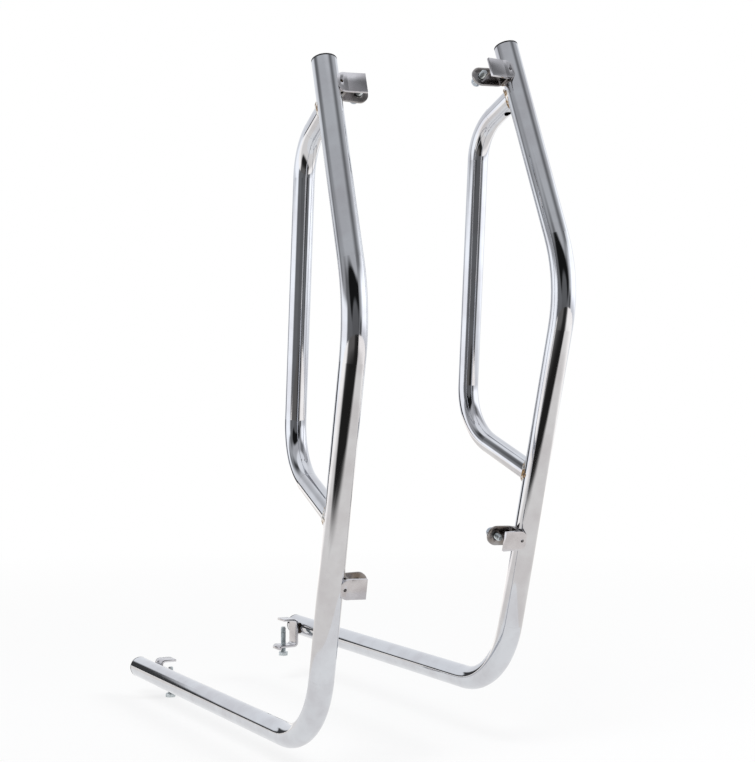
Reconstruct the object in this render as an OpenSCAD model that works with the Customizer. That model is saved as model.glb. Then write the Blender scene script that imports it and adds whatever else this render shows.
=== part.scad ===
// Pair of chromed tubular crash bars for the two sides of a leg shield and floor.
// Each bar is one bent tube with a welded side hoop, end plugs and three screw clamps.
// Millimetres and degrees. X runs across the pair, +Y to the rear, +Z up.
// The origin is midway between the bars, at the middle of their depth, on their lowest point.

/* [Main tube] */
// Outside diameter of the main tube
main_d = 22; // [20:0.5:26]
// Wall of the main tube
main_wall = 1.5; // [1:0.1:3]
// Height of the elbow above the bottom run
leg_rise = 372; // [330:1:420]
// Forward lean of the lower leg
leg_lean = 15; // [10:0.5:18]
// Outward splay of the lower leg
leg_splay = 1.4; // [0:0.1:4]
// Height of the top end above the elbow
top_rise = 219; // [200:1:260]
// Rearward lean of the upper section
top_lean = 21.4; // [16:0.1:25]
// Inward tuck of the upper section
top_tuck = 2.8; // [0:0.1:5]
// Length of the bottom run behind the corner
run_length = 457; // [420:1:520]
// Centreline radius of the bend at the elbow
elbow_bend_r = 130; // [90:1:150]
// Centreline radius of the bend at the corner
corner_bend_r = 83; // [60:1:95]

/* [Side hoop] */
// Outside diameter of the hoop tube
hoop_d = 19; // [15:0.5:20]
// Wall of the hoop tube
hoop_wall = 1.5; // [1:0.1:3]
// Upper joint of the hoop, down the upper section from its top end
hoop_joint_down = 47; // [44:0.5:70]
// Lower joint of the hoop, down the lower leg from the elbow
hoop_foot_down = 179; // [165:1:190]
// Height of the hoop's upper corner above the elbow
hoop_corner_up = 147.5; // [135:0.5:155]
// Depth of the hoop's lower corner below the elbow
hoop_corner_down = 131; // [120:1:140]
// Reach of the hoop's upper corner behind the elbow
hoop_reach_top = 129.5; // [115:0.5:145]
// Reach of the hoop's lower corner behind the elbow
hoop_reach_low = 153; // [140:1:165]
// Distance of the hoop's corners inward from the bottom run
hoop_inset = 4.5; // [0:0.5:12]
// Bend radius at the hoop's upper corner
hoop_bend_top_r = 46; // [36:1:55]
// Bend radius at the hoop's lower corner
hoop_bend_low_r = 54; // [40:1:62]
// Diameter of the drain hole under the hoop's upper end
drain_d = 6.5; // [3:0.5:8]
// Distance of the drain hole from the main tube's axis
drain_at = 21; // [19:0.5:26]

/* [Pair] */
// Half the distance between the two bottom runs
half_gap = 100.5; // [85:0.5:160]
// How far the left bar stands ahead of the right one
left_ahead = 25; // [0:1:40]
// How far the left bar stands below the right one
left_drop = 31; // [0:1:40]
// How much shorter the left bar is at its top end
left_top_short = 5; // [0:0.5:10]

/* [End plugs] */
// Thickness of the black sealing ring between tube and plug
ring_t = 1.4; // [0.6:0.1:2]
// Height of the plug's domed face
dome_h = 2.4; // [1:0.1:4]
// Length of the plug's spigot inside the tube
spigot_l = 14; // [8:0.5:20]
// Radial clearance of the spigot in the tube
spigot_gap = 0.1; // [0.05:0.05:0.3]

/* [Panel clamps] */
// Thickness of the clamp steel
clamp_t = 2.5; // [2:0.1:3.5]
// Width of the clamp steel along the tube
clamp_w = 18; // [15:0.5:22]
// Reach of the top clamp's front plate from the tube's axis
top_plate_reach = 31; // [27:0.5:36]
// Reach of the middle clamp's front plate from the tube's axis
mid_plate_reach = 28; // [27:0.5:36]
// Where the front plate's round end lies, from the tube's axis
plate_start = 3.5; // [2:0.5:6]
// How far the front face of the plate's tab lies behind the tube's front
tab_sunk = 1.2; // [0.2:0.1:2]
// Distance of the plate's fold from the tube's axis
fold_at = 14.5; // [14:0.5:17]
// Angle that the plate is folded forward by
fold_angle = 8; // [2:1:15]
// Inside radius of the plate's fold
fold_r = 2; // [1:0.5:4]
// Gap between the back of the plate's tab and the rear jaw
mouth_gap = 12; // [10:0.5:16]
// Distance of the top clamp's screw from the tube's axis
top_screw_at = 31.5; // [27:0.5:34]
// Distance of the middle clamp's screw from the tube's axis
mid_screw_at = 27.5; // [27:0.5:34]
// Inside radius of the bend in the rear jaw
jaw_bend_r = 2.5; // [1:0.5:4]
// Middle of the top clamp, down the upper section from its top end
top_clamp_down = 28.5; // [20:0.5:30]
// Middle of the middle clamp, up the lower leg from the corner
mid_clamp_up = 147.5; // [125:0.5:170]
// Diameter of the small hole in the plate's tab
tab_hole_d = 3; // [1.5:0.1:4]
// Distance of that hole from the tube's axis
tab_hole_at = 9; // [8:0.5:10]

/* [Clamp screws] */
// Diameter of the clamp screws
screw_d = 6; // [5:0.5:7]
// Radial clearance of a screw in its thread
thread_gap = 0.05; // [0.02:0.01:0.1]
// Chamfer at a screw's tip
tip_chamfer = 0.8; // [0.4:0.1:1.2]
// How far a clamp screw's tip stands out of the jaw towards the plate
screw_proud = 7; // [4:0.5:10]
// Width across flats of the hexagons
hex_af = 10; // [9:0.5:12]
// Height of the dome nut's hexagon
nut_hex_h = 5; // [4:0.5:6]
// Height of the dome nut from its seat to the top of its dome
nut_h = 12; // [11:0.5:14]
// Diameter of the dome
nut_dome_d = 9.4; // [8.6:0.1:10]
// Depth of the dome nut's thread
nut_bore_h = 8.5; // [7:0.5:9]
// Play between a screw's end and the bottom of its dome nut
nut_play = 1; // [0.5:0.1:2]
// Bevel of a hexagon's corners, inward from its flats
hex_bevel = 0.2; // [0.1:0.1:0.5]

/* [Floor clamps] */
// Width of the floor clamp along the run
floor_w = 20; // [16:0.5:24]
// Thickness of the floor clamp's steel
floor_t = 2.5; // [2:0.1:3.5]
// Middle of the floor clamp ahead of the run's end
floor_at = 23.5; // [20:0.5:60]
// Clear gap between the floor clamp's two legs
floor_mouth = 27.5; // [22:0.5:32]
// Reach of the upper leg from the tube's axis
floor_reach = 30; // [26:0.5:36]
// Distance of the floor screw from the tube's axis
floor_screw_at = 27; // [26:0.5:30]
// Reach of the lower leg from the tube's axis
floor_low_reach = 36; // [34:0.5:42]
// Length of the lip turned down at the end of the lower leg
lip_drop = 2.5; // [1.5:0.5:4]
// Inside radius of the lip's bend
lip_bend_r = 1; // [0.5:0.5:2]
// Inside radius of the floor clamp's bends
floor_bend_r = 2.5; // [1:0.5:4]
// Gap between the tube and the floor clamp's upright
spacer_t = 1.5; // [1:0.1:4]
// Height of the welded spacer between tube and upright
spacer_h = 12; // [8:0.5:16]
// Length of the floor screw under its head
floor_screw_l = 29; // [27:1:34]
// How far the floor screw's head stands below the lower leg
head_drop = 6; // [3:0.5:7]
// Height of the floor screw's hexagonal head
head_h = 4; // [3:0.5:5]

/* [Welds] */
// Width of the weld beads on each surface
bead = 1.6; // [0.8:0.1:2.2]
// How far a clamp's bead stops short of the strip's edge
bead_short = 1; // [0.5:0.1:2]

/* [Hidden] */
$fn = 96;
eps = 0.01;
over = 1;
main_r = main_d / 2;
hoop_r = hoop_d / 2;
bore_r = main_r - main_wall;
// A bend is a hair fuller than its straights, which run a little way into it
bend_swell = 0.05;
bend_lap = 1.5;
end_a = clamp_w / 2;

function unit(v) = v / norm(v);
function along(a, b, dist) = a + unit(b - a) * dist;

// Vertices of the right bar's centreline, from the corner at the origin of its own frame
corner = [half_gap, 0, 0];
elbow = corner + leg_rise * [tan(leg_splay), -tan(leg_lean), 1];
top_end = elbow + top_rise * [-tan(top_tuck), tan(top_lean), 1];
run_end = corner + [0, run_length, 0];
left_top_end = along(top_end, elbow, left_top_short);
main_bends = [elbow_bend_r, corner_bend_r];

hoop_joint = along(top_end, elbow, hoop_joint_down);
hoop_foot = along(elbow, corner, hoop_foot_down);
hoop_top = [half_gap - hoop_inset, elbow[1] + hoop_reach_top, elbow[2] + hoop_corner_up];
hoop_low = [half_gap - hoop_inset, elbow[1] + hoop_reach_low, elbow[2] - hoop_corner_down];
hoop_path = [hoop_joint, hoop_top, hoop_low, hoop_foot];
hoop_bends = [hoop_bend_top_r, hoop_bend_low_r];

// Half of the inside angle at a vertex, and what a bend of radius r takes up there
function half_angle(p, v, q) = acos(unit(p - v) * unit(q - v)) / 2;
function bend_cut(p, v, q, r) = r / tan(half_angle(p, v, q));
function bend_centre(p, v, q, r) = v + unit(unit(p - v) + unit(q - v)) * r / sin(half_angle(p, v, q));

// Heights and faces of the clamps
plate_front = tab_sunk - main_r;
plate_back = plate_front + clamp_t;
jaw_front = plate_back + mouth_gap;
jaw_back = jaw_front + clamp_t;
upright_in = main_r + spacer_t;
upright_out = upright_in + floor_t;
leg_top = main_r;
leg_under = leg_top - floor_t;
lower_top = leg_under - floor_mouth;
lower_under = lower_top - floor_t;
head_top = lower_under - head_drop;

// Shift that sets the whole pair on the origin
elbow_front = bend_centre(top_end, elbow, corner, elbow_bend_r)[1] - elbow_bend_r - main_r;
depth_mid = (elbow_front - left_ahead + run_length + ring_t + dome_h) / 2;
lowest = head_top - head_h - left_drop;

// Frames: one bar, and a place on a tube

module right_bar() {
    translate([0, -depth_mid, -lowest]) children();
}

module left_bar() {
    translate([0, -depth_mid - left_ahead, -lowest - left_drop]) mirror([1, 0, 0]) children();
}

module placed(o, x, y, z) {
    multmatrix([
        [x[0], y[0], z[0], o[0]],
        [x[1], y[1], z[1], o[1]],
        [x[2], y[2], z[2], o[2]],
        [0, 0, 0, 1]
    ]) children();
}

// A frame at p with Z towards q, X outward and Y to the rear where Z points up
module on_tube(p, q) {
    z = unit(q - p);
    y = unit(cross(z, [1, 0, 0]));
    placed(p, cross(y, z), y, z) children();
}

// A frame on the bottom run with X inward, Y to the front and Z up
module on_run(ahead) {
    placed(run_end - [0, ahead, 0], [-1, 0, 0], [0, -1, 0], [0, 0, 1]) children();
}

// Tubes

module rod(p, q, r) {
    on_tube(p, q) cylinder(h = norm(q - p), r = r);
}

module elbow_piece(p, v, q, bend_r, r) {
    c = bend_centre(p, v, q, bend_r);
    s = v + unit(p - v) * bend_cut(p, v, q, bend_r);
    x = unit(s - c);
    y = unit(v - p);
    placed(c, x, y, cross(x, y))
        rotate_extrude(angle = 180 - 2 * half_angle(p, v, q)) translate([bend_r, 0]) circle(r = r + bend_swell);
}

// A solid round bar along four vertices with two bends, its ends drawn out by extra
module round_path(path, bends, r, extra = 0) {
    cut_b = bend_cut(path[0], path[1], path[2], bends[0]) - bend_lap;
    cut_c = bend_cut(path[1], path[2], path[3], bends[1]) - bend_lap;
    rod(along(path[0], path[1], -extra), along(path[1], path[0], cut_b), r);
    elbow_piece(path[0], path[1], path[2], bends[0], r);
    rod(along(path[1], path[2], cut_b), along(path[2], path[1], cut_c), r);
    elbow_piece(path[1], path[2], path[3], bends[1], r);
    rod(along(path[2], path[3], cut_c), along(path[3], path[2], -extra), r);
}

module main_tube(end) {
    path = [end, elbow, corner, run_end];
    color("silver") difference() {
        round_path(path, main_bends, main_r);
        round_path(path, main_bends, bore_r, over);
    }
}

// The straight stretches of the main tube that the hoop and the clamps are fitted to
module upper_section(r) {
    rod(top_end, hoop_joint + (hoop_joint - top_end), r);
}

module lower_leg(r) {
    reach = hoop_d + main_d;
    rod(along(hoop_foot, elbow, reach), along(hoop_foot, corner, reach), r);
}

module hoop_tube() {
    color("silver") difference() {
        round_path(hoop_path, hoop_bends, hoop_r);
        round_path(hoop_path, hoop_bends, hoop_r - hoop_wall, over);
        upper_section(main_r);
        lower_leg(main_r);
        on_tube(along(hoop_joint, hoop_top, drain_at), hoop_top)
            rotate([-90, 0, 0]) cylinder(h = hoop_r + over, d = drain_d);
    }
}

// A weld bead fills the corner where the hoop's end meets the main tube
module hoop_welds() {
    reach = hoop_d + main_d;
    color("gainsboro") {
        difference() {
            intersection() {
                rod(hoop_joint, along(hoop_joint, hoop_top, reach), hoop_r + bead);
                upper_section(main_r + bead);
            }
            rod(along(hoop_joint, hoop_top, -over), along(hoop_joint, hoop_top, reach + over), hoop_r);
            upper_section(main_r);
        }
        difference() {
            intersection() {
                rod(hoop_foot, along(hoop_foot, hoop_low, reach), hoop_r + bead);
                lower_leg(main_r + bead);
            }
            rod(along(hoop_foot, hoop_low, -over), along(hoop_foot, hoop_low, reach + over), hoop_r);
            lower_leg(main_r);
        }
    }
}

// End plugs, drawn in a frame with Z pointing out of the tube's end

module seal_ring() {
    color("#161616") difference() {
        cylinder(h = ring_t, r = main_r);
        translate([0, 0, -over]) cylinder(h = ring_t + 2 * over, r = bore_r - spigot_gap);
    }
}

module end_plug() {
    dome_r = (main_r * main_r + dome_h * dome_h) / (2 * dome_h);
    color("lightgrey") union() {
        translate([0, 0, -spigot_l]) cylinder(h = spigot_l + ring_t + dome_h / 4, r = bore_r - spigot_gap);
        intersection() {
            translate([0, 0, ring_t]) cylinder(h = dome_h + over, r = main_r);
            translate([0, 0, ring_t + dome_h - dome_r]) sphere(r = dome_r, $fn = 192);
        }
    }
}

module at_top_end(end) {
    on_tube(end, end + (end - elbow)) children();
}

module at_run_end() {
    on_tube(run_end, run_end + (run_end - corner)) children();
}

// Panel clamps, drawn in a frame on the tube with X inward, Y to the rear and Z along the tube

module strip_plate(x0, x1, y0, y1) {
    translate([x0, y0, -clamp_w / 2]) cube([x1 - x0, y1 - y0, clamp_w]);
}

// A round end across the width of the strip, its middle at x
module strip_round(x, y0, y1) {
    translate([x, y1, 0]) rotate([90, 0, 0]) cylinder(h = y1 - y0, r = end_a);
}

module plate_tab() {
    strip_plate(plate_start + end_a, fold_at, plate_front, plate_back);
    strip_round(plate_start + end_a, plate_front, plate_back);
}

// The front plate: a round tab on the tube, a slight fold, and a flat square-ended flap
module clamp_plate(reach) {
    flap_l = (reach - fold_at) / cos(fold_angle);
    color("silver") difference() {
        union() {
            plate_tab();
            translate([fold_at, plate_front - fold_r, 0]) rotate([0, 0, -fold_angle]) {
                rotate([0, 0, 90]) rotate_extrude(angle = fold_angle)
                    translate([fold_r, -clamp_w / 2]) square([clamp_t, clamp_w]);
                translate([0, fold_r, -clamp_w / 2]) cube([flap_l, clamp_t, clamp_w]);
            }
        }
        translate([0, 0, -clamp_w]) cylinder(h = 2 * clamp_w, r = main_r);
        translate([tab_hole_at, plate_back + over, 0])
            rotate([90, 0, 0]) cylinder(h = clamp_t + 2 * over, d = tab_hole_d);
    }
}

module clamp_jaw(at) {
    web_out = main_r + clamp_t;
    bend_x = main_r + clamp_t + jaw_bend_r;
    color("silver") difference() {
        union() {
            strip_plate(main_r, web_out, plate_back, jaw_front - jaw_bend_r);
            translate([bend_x, jaw_front - jaw_bend_r, -clamp_w / 2])
                rotate([0, 0, 90]) rotate_extrude(angle = 90) translate([jaw_bend_r, 0]) square([clamp_t, clamp_w]);
            strip_plate(bend_x, at, jaw_front, jaw_back);
            strip_round(at, jaw_front, jaw_back);
        }
        translate([at, jaw_back + over, 0])
            rotate([90, 0, 0]) cylinder(h = clamp_t + 2 * over, r = screw_d / 2 + thread_gap);
    }
}

// A screw along Z with its chamfered tip at the top
module screw_shank(length) {
    cylinder(h = length - tip_chamfer, d = screw_d);
    translate([0, 0, length - tip_chamfer])
        cylinder(h = tip_chamfer, d1 = screw_d, d2 = screw_d - 2 * tip_chamfer);
}

module clamp_screw(at) {
    tail = nut_bore_h - nut_play;
    length = screw_proud + clamp_t + tail;
    color("lightsteelblue") translate([at, jaw_back + tail, 0])
        rotate([90, 0, 0]) screw_shank(length);
}

// A hexagonal prism with its corners bevelled at the top
module hexagon(h) {
    intersection() {
        cylinder(h = h, d = hex_af / cos(30), $fn = 6);
        cylinder(h = h, r1 = hex_af / 2 + h * 1.6, r2 = hex_af / 2 - hex_bevel);
    }
}

module dome_nut(at) {
    color("silver") translate([at, jaw_back, 0]) rotate([-90, 0, 0]) difference() {
        union() {
            hexagon(nut_hex_h);
            cylinder(h = nut_h - nut_dome_d / 2, d = nut_dome_d);
            translate([0, 0, nut_h - nut_dome_d / 2]) sphere(d = nut_dome_d);
        }
        translate([0, 0, -over]) cylinder(h = nut_bore_h + over, r = screw_d / 2 + thread_gap);
    }
}

module at_top_clamp() {
    on_tube(along(top_end, elbow, top_clamp_down), top_end) mirror([1, 0, 0]) children();
}

module at_mid_clamp() {
    on_tube(along(corner, elbow, mid_clamp_up), elbow) mirror([1, 0, 0]) children();
}

// Beads in the corners behind the front plate and behind the jaw's web
module clamp_beads() {
    difference() {
        translate([main_r - 0.2, jaw_front - bead / 2, -clamp_w / 2]) cylinder(h = clamp_w, r = bead * 1.3);
        translate([0, 0, -clamp_w]) cylinder(h = 2 * clamp_w, r = main_r);
        strip_plate(main_r, main_r + clamp_t, plate_back, jaw_front - jaw_bend_r);
        translate([main_r + clamp_t + jaw_bend_r, jaw_front - jaw_bend_r, -clamp_w])
            cylinder(h = 2 * clamp_w, r = jaw_bend_r + clamp_t);
    }
    bead_x = sqrt(main_r * main_r - plate_back * plate_back);
    difference() {
        translate([bead_x - over, plate_back, bead_short - clamp_w / 2])
            cube([bead * 1.2 + over, bead, clamp_w - 2 * bead_short]);
        translate([0, 0, -clamp_w]) cylinder(h = 2 * clamp_w, r = main_r);
    }
}

module clamp_welds() {
    color("gainsboro") {
        at_top_clamp() clamp_beads();
        at_mid_clamp() clamp_beads();
    }
}

// Floor clamps, drawn in a frame on the run with X inward, Y to the front and Z up

module floor_leg(x0, x1, z0, z1) {
    translate([x0, -floor_w / 2, z0]) cube([x1 - x0, floor_w, z1 - z0]);
}

module floor_bend(inner) {
    rotate([90, 0, 0]) rotate_extrude(angle = 90) translate([inner, 0]) square([floor_t, floor_w]);
}

module floor_clamp() {
    bend_x = upright_out + floor_bend_r;
    lip_x = floor_low_reach - floor_t - lip_bend_r;
    lip_z = lower_under - lip_bend_r;
    color("silver") difference() {
        union() {
            floor_leg(upright_in, upright_out, lower_top + floor_bend_r, leg_under - floor_bend_r);
            floor_leg(bend_x, floor_reach, leg_under, leg_top);
            floor_leg(bend_x, lip_x, lower_under, lower_top);
            floor_leg(lip_x + lip_bend_r, floor_low_reach, lower_under - lip_drop, lip_z);
            translate([bend_x, floor_w / 2, leg_under - floor_bend_r]) rotate([0, -90, 0]) floor_bend(floor_bend_r);
            translate([bend_x, floor_w / 2, lower_top + floor_bend_r]) rotate([0, 180, 0]) floor_bend(floor_bend_r);
            translate([lip_x, floor_w / 2, lip_z]) floor_bend(lip_bend_r);
        }
        translate([floor_screw_at, 0, lower_under - over])
            cylinder(h = floor_t + 2 * over, r = screw_d / 2 + thread_gap);
    }
}

module floor_clamp_spacer() {
    color("dimgray") difference() {
        translate([0, -floor_w / 2, -spacer_h / 2]) cube([upright_in, floor_w, spacer_h]);
        translate([0, floor_w, 0]) rotate([90, 0, 0]) cylinder(h = 2 * floor_w, r = main_r);
    }
}

module floor_clamp_screw() {
    color("lightsteelblue") translate([floor_screw_at, 0, head_top]) {
        screw_shank(floor_screw_l);
        rotate([180, 0, 0]) hexagon(head_h);
    }
}

right_bar() main_tube(top_end);  // right_main_tube
right_bar() hoop_tube();  // right_hoop_tube
right_bar() hoop_welds();  // right_hoop_welds
right_bar() at_top_end(top_end) seal_ring();  // right_top_seal_ring
right_bar() at_top_end(top_end) end_plug();  // right_top_end_plug
right_bar() at_run_end() seal_ring();  // right_run_seal_ring
right_bar() at_run_end() end_plug();  // right_run_end_plug
right_bar() at_top_clamp() clamp_plate(top_plate_reach);  // right_top_clamp_plate
right_bar() at_top_clamp() clamp_jaw(top_screw_at);  // right_top_clamp_jaw
right_bar() at_top_clamp() clamp_screw(top_screw_at);  // right_top_clamp_screw
right_bar() at_top_clamp() dome_nut(top_screw_at);  // right_top_clamp_dome_nut
right_bar() at_mid_clamp() clamp_plate(mid_plate_reach);  // right_mid_clamp_plate
right_bar() at_mid_clamp() clamp_jaw(mid_screw_at);  // right_mid_clamp_jaw
right_bar() at_mid_clamp() clamp_screw(mid_screw_at);  // right_mid_clamp_screw
right_bar() at_mid_clamp() dome_nut(mid_screw_at);  // right_mid_clamp_dome_nut
right_bar() clamp_welds();  // right_clamp_welds
right_bar() on_run(floor_at) floor_clamp();  // right_floor_clamp
right_bar() on_run(floor_at) floor_clamp_spacer();  // right_floor_clamp_spacer
right_bar() on_run(floor_at) floor_clamp_screw();  // right_floor_clamp_screw
left_bar() main_tube(left_top_end);  // left_main_tube
left_bar() hoop_tube();  // left_hoop_tube
left_bar() hoop_welds();  // left_hoop_welds
left_bar() at_top_end(left_top_end) seal_ring();  // left_top_seal_ring
left_bar() at_top_end(left_top_end) end_plug();  // left_top_end_plug
left_bar() at_run_end() seal_ring();  // left_run_seal_ring
left_bar() at_run_end() end_plug();  // left_run_end_plug
left_bar() at_top_clamp() clamp_plate(top_plate_reach);  // left_top_clamp_plate
left_bar() at_top_clamp() clamp_jaw(top_screw_at);  // left_top_clamp_jaw
left_bar() at_top_clamp() clamp_screw(top_screw_at);  // left_top_clamp_screw
left_bar() at_top_clamp() dome_nut(top_screw_at);  // left_top_clamp_dome_nut
left_bar() at_mid_clamp() clamp_plate(mid_plate_reach);  // left_mid_clamp_plate
left_bar() at_mid_clamp() clamp_jaw(mid_screw_at);  // left_mid_clamp_jaw
left_bar() at_mid_clamp() clamp_screw(mid_screw_at);  // left_mid_clamp_screw
left_bar() at_mid_clamp() dome_nut(mid_screw_at);  // left_mid_clamp_dome_nut
left_bar() clamp_welds();  // left_clamp_welds
left_bar() on_run(floor_at) floor_clamp();  // left_floor_clamp
left_bar() on_run(floor_at) floor_clamp_spacer();  // left_floor_clamp_spacer
left_bar() on_run(floor_at) floor_clamp_screw();  // left_floor_clamp_screw
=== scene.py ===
import logging
import math
from dataclasses import dataclass
from enum import Enum
from typing import Any, Optional, Sequence

import bmesh
import bpy
from mathutils import Matrix, Vector


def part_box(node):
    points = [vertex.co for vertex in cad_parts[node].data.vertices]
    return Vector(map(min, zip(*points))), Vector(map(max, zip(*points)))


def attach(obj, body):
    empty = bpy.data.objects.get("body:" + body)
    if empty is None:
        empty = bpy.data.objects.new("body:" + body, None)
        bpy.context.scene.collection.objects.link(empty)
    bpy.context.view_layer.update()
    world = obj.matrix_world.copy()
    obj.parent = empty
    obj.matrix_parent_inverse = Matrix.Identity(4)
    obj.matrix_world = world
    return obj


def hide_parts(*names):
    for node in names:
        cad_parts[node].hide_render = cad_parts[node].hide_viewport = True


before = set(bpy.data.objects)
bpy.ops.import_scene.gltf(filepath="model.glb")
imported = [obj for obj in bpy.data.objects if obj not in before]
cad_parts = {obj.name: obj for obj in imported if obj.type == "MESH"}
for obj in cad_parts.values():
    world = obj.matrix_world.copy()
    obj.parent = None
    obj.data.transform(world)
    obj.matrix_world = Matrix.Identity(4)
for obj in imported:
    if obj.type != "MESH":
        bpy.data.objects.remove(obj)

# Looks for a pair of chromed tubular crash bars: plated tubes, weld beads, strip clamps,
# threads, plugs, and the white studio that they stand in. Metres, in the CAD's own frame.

LOG = logging.getLogger("crash_bars")
MM = 0.001
BODY = "root"

Colour = tuple[float, float, float, float]
Pair = tuple[float, float]
Point = tuple[float, float, float]

WHITE: Colour = (1.0, 1.0, 1.0, 1.0)
# Noise seldom leaves this range.
NOISE_SPAN: Pair = (0.3, 0.7)
# Faces that meet at less than this many degrees are shaded as one surface.
SMOOTH_BELOW = 32.0
ALL_SMOOTH = 180.0
# Corners of a CAD mesh's copy that lie this close are merged, in metres.
SAME_CORNER = 2e-6
# Faces of it that are flat within this many degrees are joined.
FLAT_WITHIN = 0.4
# Edges sharper than this many degrees are eased, in this many steps.
EASE_ABOVE = 40.0
EASE_STEPS = 2

TIMES = {"operation": "MULTIPLY"}
MINUS = {"operation": "SUBTRACT"}
LARGER = {"operation": "MAXIMUM"}


class Side(Enum):
    """Which bar of the pair a piece belongs to."""

    RIGHT = "right"
    LEFT = "left"

    @property
    def mirror(self) -> float:
        """1 for the right bar and -1 for the left one, whose X runs the other way."""
        return 1.0 if self is Side.RIGHT else -1.0


def to_linear(hex_colour: str) -> Colour:
    """Turn an sRGB hex colour into the linear values that a shader takes.

    Args:
        hex_colour: Six hex digits, with or without a leading hash.

    Returns:
        Red, green, blue and alpha, linear.
    """
    digits = hex_colour.lstrip("#")
    out = []
    for i in (0, 2, 4):
        v = int(digits[i:i + 2], 16) / 255
        out.append(v / 12.92 if v <= 0.04045 else ((v + 0.055) / 1.055) ** 2.4)
    return out[0], out[1], out[2], 1.0


def feed(tree: bpy.types.NodeTree, node: bpy.types.Node, **inputs: Any) -> None:
    """Give a node its input values and the links into it.

    Args:
        tree: The tree that the node is in.
        node: The node.
        inputs: Values, output sockets, or nodes for their first output. Each is named for its
            input, with underscores for spaces, or numbered as n0, n1 and so on.
    """
    for key, value in inputs.items():
        numbered = key[0] == "n" and key[1:].isdigit()
        socket = node.inputs[int(key[1:]) if numbered else key.replace("_", " ")]
        if isinstance(value, bpy.types.Node):
            value = value.outputs[0]
        if isinstance(value, bpy.types.NodeSocket):
            tree.links.new(value, socket)
        else:
            socket.default_value = value


def add_node(tree: bpy.types.NodeTree, kind: str, settings: Optional[dict[str, Any]] = None,
             **inputs: Any) -> bpy.types.Node:
    """Add one node with its settings, its input values and the links into it.

    Args:
        tree: The node tree to add to.
        kind: The node's type name.
        settings: Properties of the node, such as its operation.
        inputs: What goes into it, as feed takes it.

    Returns:
        The new node.
    """
    node = tree.nodes.new(kind)
    for key, value in (settings or {}).items():
        setattr(node, key, value)
    feed(tree, node, **inputs)
    return node


@dataclass(frozen=True)
class Grain:
    """A noise pattern at its real size, with its depth where it is a relief."""

    size_mm: float
    detail: float = 2.0
    roughness: float = 0.5
    depth_mm: float = 0.0


@dataclass(frozen=True)
class Finish:
    """A clouded surface over layers of fine relief. Its material is built on first use.

    The tints are places in the cloud's noise with their hex colours, first to last, and rough
    is the roughness where that noise is low and where it is high.
    """

    name: str
    tints: tuple[tuple[float, str], ...]
    rough: Pair
    cloud: Grain
    reliefs: tuple[Grain, ...]
    metallic: float = 1.0

    def build(self, tree: bpy.types.NodeTree, bsdf: bpy.types.Node) -> None:
        """Cloud the colour and the polish, and lay the reliefs one over the next.

        Args:
            tree: The material's node tree.
            bsdf: Its Principled BSDF.
        """
        place = add_node(tree, "ShaderNodeTexCoord").outputs["Object"]
        cloud = add_node(tree, "ShaderNodeTexNoise", Vector=place, Scale=1 / (self.cloud.size_mm * MM),
                         Detail=self.cloud.detail, Roughness=self.cloud.roughness)
        tint = add_node(tree, "ShaderNodeValToRGB", Fac=cloud)
        stops = [(at, to_linear(colour)) for at, colour in self.tints]
        for element, (at, colour) in zip(tint.color_ramp.elements, (stops[0], stops[-1])):
            element.position = at
            element.color = colour
        for at, colour in stops[1:-1]:
            tint.color_ramp.elements.new(at).color = colour
        polish = add_node(tree, "ShaderNodeMapRange", n0=cloud, n1=NOISE_SPAN[0], n2=NOISE_SPAN[1],
                          n3=self.rough[0], n4=self.rough[1])
        feed(tree, bsdf, Metallic=self.metallic, Base_Color=tint, Roughness=polish)
        below: dict[str, bpy.types.Node] = {}
        for grain in self.reliefs:
            noise = add_node(tree, "ShaderNodeTexNoise", Vector=place, Scale=1 / (grain.size_mm * MM),
                             Detail=grain.detail, Roughness=grain.roughness)
            below["Normal"] = add_node(tree, "ShaderNodeBump", Strength=1.0, Distance=grain.depth_mm * MM,
                                       Height=noise, **below)
        feed(tree, bsdf, **below)

    def material(self) -> bpy.types.Material:
        """Hand out the finish's material, made on first use.

        Returns:
            The material.
        """
        found = bpy.data.materials.get(self.name)
        if found:
            return found
        mat = bpy.data.materials.new(self.name)
        mat.use_nodes = True
        self.build(mat.node_tree, mat.node_tree.nodes["Principled BSDF"])
        return mat


@dataclass(frozen=True)
class ChromePlate(Finish):
    """Bright nickel-chrome plate on polished mild steel: a near mirror with a cold tint.

    The eye sees long, clean bands of light and dark along each tube, very slightly broken by
    the polishing wheel's waviness, and a faint haze where the plate is thin.
    """

    name: str = "bright_chrome_plate"
    tints: tuple[tuple[float, str], ...] = ((0.35, "#c6c6ca"), (0.6, "#d0d2d6"))
    rough: Pair = (0.07, 0.025)
    cloud: Grain = Grain(28.0, 4.0, 0.55)
    reliefs: tuple[Grain, ...] = (Grain(14.0, 2.0, 0.4, 0.004), Grain(2.5, 3.0, 0.6, 0.00015))


@dataclass(frozen=True)
class PlatedWeld(Finish):
    """Chrome plate over an as-laid weld bead.

    The eye sees glints on a lumpy bead, dark toes and a straw-brown heat tint.
    """

    name: str = "chrome_over_weld_bead"
    tints: tuple[tuple[float, str], ...] = ((0.34, "#5a5048"), (0.44, "#a98a62"), (0.54, "#d9d7d4"))
    rough: Pair = (0.4, 0.16)
    cloud: Grain = Grain(5.0, 3.0)
    reliefs: tuple[Grain, ...] = (Grain(1.1, 3.0, depth_mm=0.12),)


@dataclass(frozen=True)
class ZincPlate(Finish):
    """Bright zinc plate on a rolled thread.

    The eye sees a bluish metal, softer than chrome, with dull patches.
    """

    name: str = "bright_zinc_plate"
    tints: tuple[tuple[float, str], ...] = ((0.35, "#b3babb"), (0.6, "#d4dadc"))
    rough: Pair = (0.5, 0.36)
    cloud: Grain = Grain(3.0, 4.0)
    reliefs: tuple[Grain, ...] = (Grain(0.3, depth_mm=0.006),)


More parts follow.
